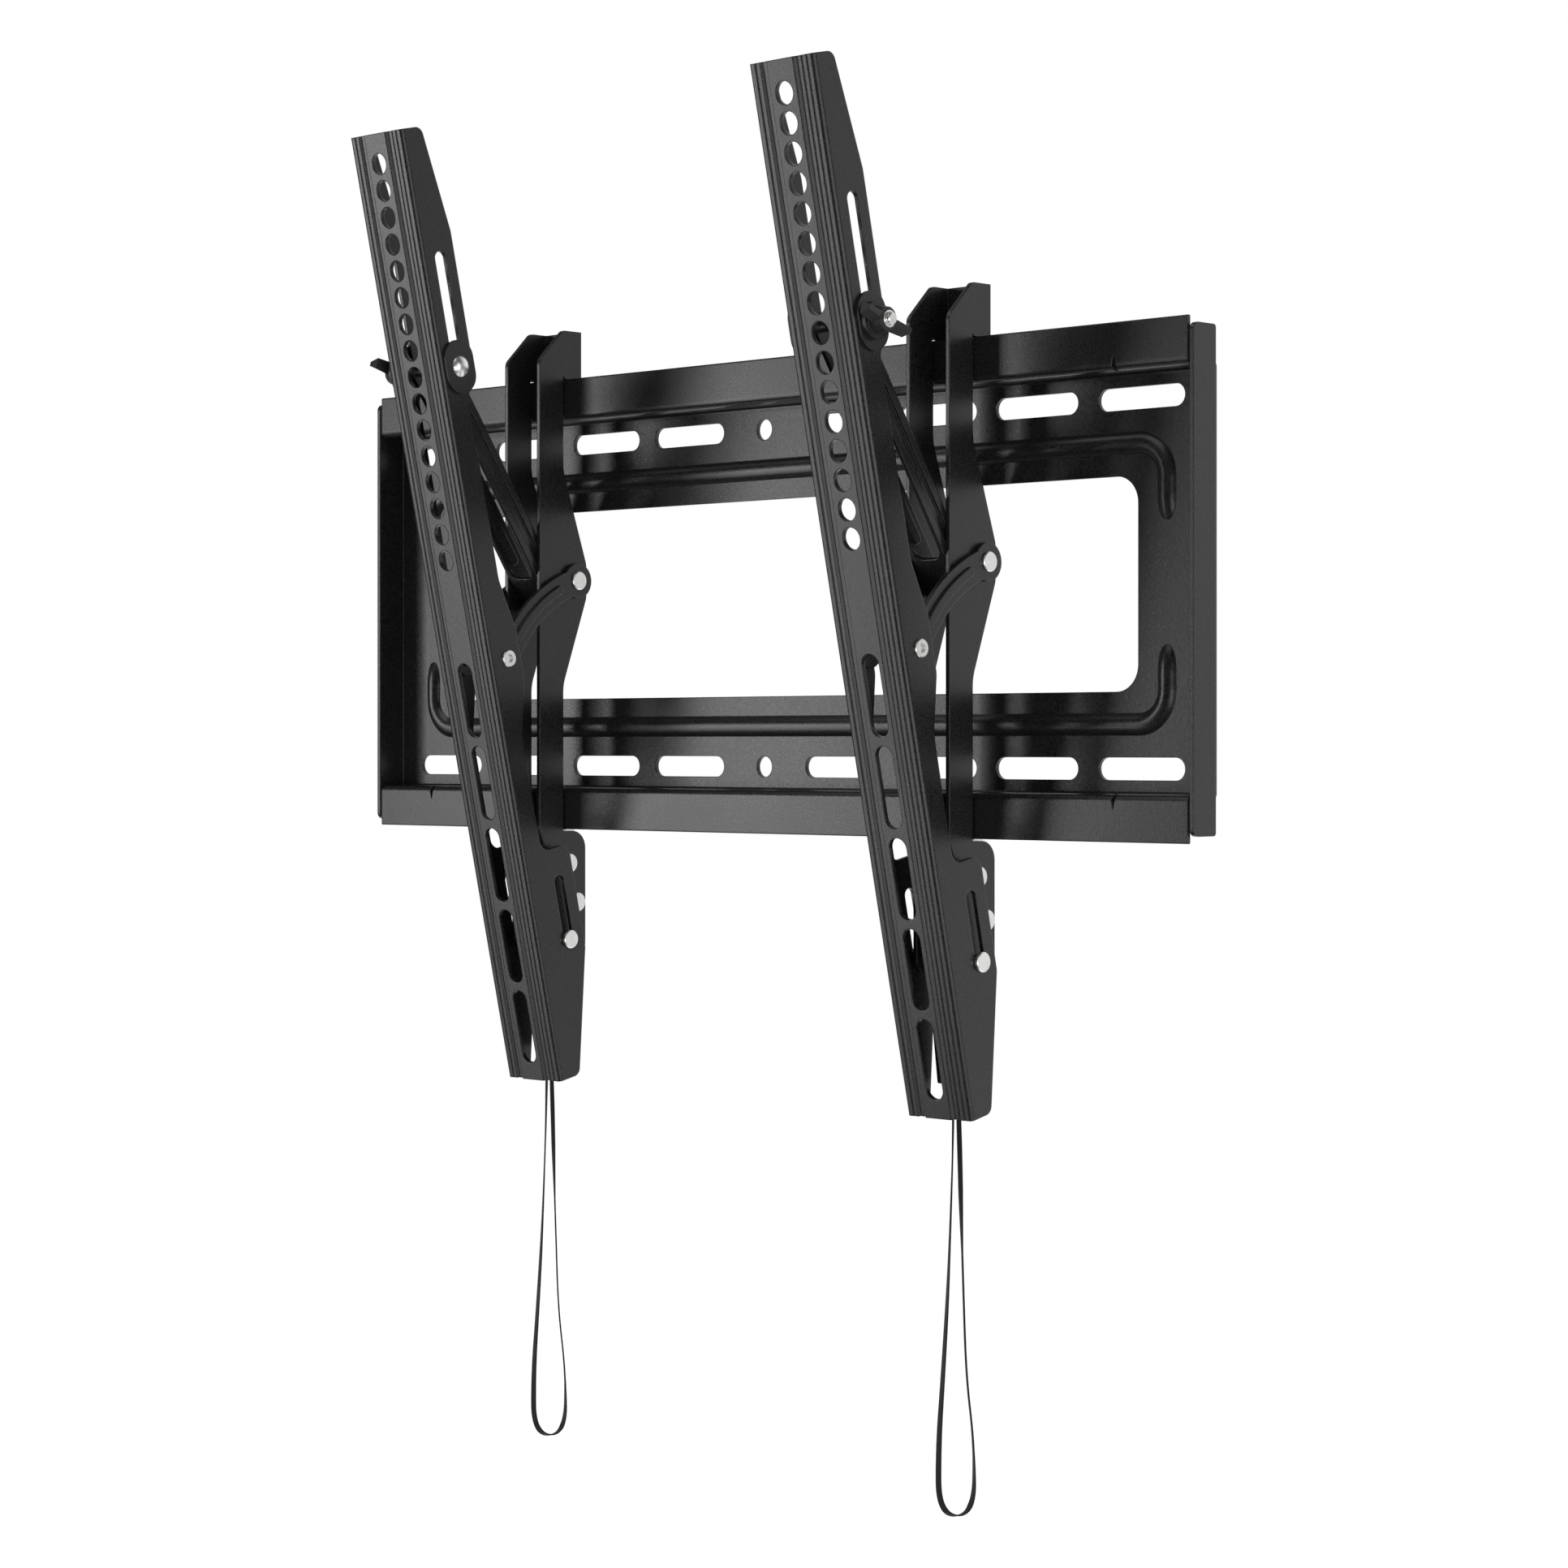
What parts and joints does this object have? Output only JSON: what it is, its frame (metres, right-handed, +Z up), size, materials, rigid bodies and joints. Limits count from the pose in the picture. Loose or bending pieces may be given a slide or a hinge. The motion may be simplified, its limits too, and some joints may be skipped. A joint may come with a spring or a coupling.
{
  "type": "tv wall mount",
  "caption": "Tilting TV wall mount: windowed pressed wall plate with hook-on sliding TV rails on tilt linkages, each with a knob lock and a strap-pulled spring latch.",
  "frame": {"origin": "on the wall, in the middle of the plate's back, midway between its two rows of slots", "axes": "+X to the viewer's right, -Y out from the wall into the room, +Z up"},
  "size_m": [0.5012, 0.121, 0.5975],
  "materials": {
    "powder_coat": "fine-textured satin black powder coat",
    "zinc_plate": "bright zinc plating",
    "spring_steel": "drawn wire",
    "knob_plastic": "moulded black",
    "washer_plastic": "moulded black",
    "bush_plastic": "moulded black",
    "webbing": "ribbed woven webbing"
  },
  "bodies": {
    "plate": {"wall_plate": "powder_coat"},
    "hook_right": {"hook_bracket_right": "powder_coat", "arm_rivets_right": "zinc_plate", "slot_pin_right": "zinc_plate", "brace_pin_right": "powder_coat", "latch_rivets_right": "zinc_plate", "latch_spring_right": "spring_steel"},
    "bush_right": {"slot_bushes_right": "bush_plastic"},
    "rail_right": {"tv_rail_right": "powder_coat", "arm_bolts_right": "zinc_plate"},
    "arms_right": {"curved_arm_outer_right": "powder_coat", "curved_arm_inner_right": "powder_coat"},
    "brace_right": {"brace_right": "powder_coat", "tilt_bolt_right": "zinc_plate", "tilt_spacers_right": "zinc_plate", "head_washer_right": "washer_plastic", "knob_washer_right": "washer_plastic"},
    "knob_right": {"wing_knob_right": "knob_plastic", "knob_insert_right": "zinc_plate"},
    "latch_right": {"latch_slider_right": "powder_coat", "latch_tongue_right": "zinc_plate", "pull_strap_right": "webbing"},
    "hook_left": {"hook_bracket_left": "powder_coat", "arm_rivets_left": "zinc_plate", "slot_pin_left": "zinc_plate", "brace_pin_left": "powder_coat", "latch_rivets_left": "zinc_plate", "latch_spring_left": "spring_steel"},
    "bush_left": {"slot_bushes_left": "bush_plastic"},
    "rail_left": {"tv_rail_left": "powder_coat", "arm_bolts_left": "zinc_plate"},
    "arms_left": {"curved_arm_outer_left": "powder_coat", "curved_arm_inner_left": "powder_coat"},
    "brace_left": {"brace_left": "powder_coat", "tilt_bolt_left": "zinc_plate", "tilt_spacers_left": "zinc_plate", "head_washer_left": "washer_plastic", "knob_washer_left": "washer_plastic"},
    "knob_left": {"wing_knob_left": "knob_plastic", "knob_insert_left": "zinc_plate"},
    "latch_left": {"latch_slider_left": "powder_coat", "latch_tongue_left": "zinc_plate", "pull_strap_left": "webbing"}
  },
  "joints": [
    {"name": "bracket_slide_right", "type": "slide", "parent": "plate", "child": "hook_right", "axis": [1, 0, 0], "range_m": [-0.09, 0.09]},
    {"name": "tilt_right", "type": "hinge", "parent": "hook_right", "child": "bush_right", "pos_m": [0.1244, -0.0198, -0.1551], "axis": [-1, 0, 0], "range_deg": [0, 12.55]},
    {"name": "rail_slide_right", "type": "slide", "parent": "bush_right", "child": "rail_right", "axis": [0, 0.2173, -0.9761], "range_m": [0, 0.0251]},
    {"name": "arm_turn_right", "type": "hinge", "parent": "hook_right", "child": "arms_right", "pos_m": [0.1244, -0.0104, 0.011], "axis": [1, 0, 0], "range_deg": [0, 34.6]},
    {"name": "brace_turn_right", "type": "hinge", "parent": "hook_right", "child": "brace_right", "pos_m": [0.1244, -0.019, 0.002], "axis": [-1, 0, 0], "range_deg": [0, 28.95]},
    {"name": "knob_turn_right", "type": "hinge", "parent": "brace_right", "child": "knob_right", "pos_m": [0.1244, -0.08692, 0.10452], "axis": [1, 0, 0], "continuous": true},
    {"name": "latch_pull_right", "type": "slide", "parent": "hook_right", "child": "latch_right", "axis": [0, 0, -1], "range_m": [0, 0.008], "stiffness_N_per_m": 500, "springref_m": -0.004, "deforming": ["latch_spring_right"]},
    {"name": "bracket_slide_left", "type": "slide", "parent": "plate", "child": "hook_left", "axis": [1, 0, 0], "range_m": [-0.09, 0.09]},
    {"name": "tilt_left", "type": "hinge", "parent": "hook_left", "child": "bush_left", "pos_m": [-0.127, -0.0198, -0.1551], "axis": [-1, 0, 0], "range_deg": [0, 12.55]},
    {"name": "rail_slide_left", "type": "slide", "parent": "bush_left", "child": "rail_left", "axis": [0, 0.2173, -0.9761], "range_m": [0, 0.0251]},
    {"name": "arm_turn_left", "type": "hinge", "parent": "hook_left", "child": "arms_left", "pos_m": [-0.127, -0.0104, 0.011], "axis": [1, 0, 0], "range_deg": [0, 34.6]},
    {"name": "brace_turn_left", "type": "hinge", "parent": "hook_left", "child": "brace_left", "pos_m": [-0.127, -0.019, 0.002], "axis": [-1, 0, 0], "range_deg": [0, 28.95]},
    {"name": "knob_turn_left", "type": "hinge", "parent": "brace_left", "child": "knob_left", "pos_m": [-0.127, -0.08692, 0.10452], "axis": [1, 0, 0], "continuous": true},
    {"name": "latch_pull_left", "type": "slide", "parent": "hook_left", "child": "latch_left", "axis": [0, 0, -1], "range_m": [0, 0.008], "stiffness_N_per_m": 500, "springref_m": -0.004, "deforming": ["latch_spring_left"]}
  ],
  "couplings": [
    {"joint": "rail_slide_right", "follows": "tilt_right", "m_per_rad": 0.11413},
    {"joint": "arm_turn_right", "follows": "tilt_right", "ratio": 2.7516},
    {"joint": "brace_turn_right", "follows": "tilt_right", "ratio": 2.3033},
    {"joint": "rail_slide_left", "follows": "tilt_left", "m_per_rad": 0.11413},
    {"joint": "arm_turn_left", "follows": "tilt_left", "ratio": 2.7516},
    {"joint": "brace_turn_left", "follows": "tilt_left", "ratio": 2.3033}
  ]
}
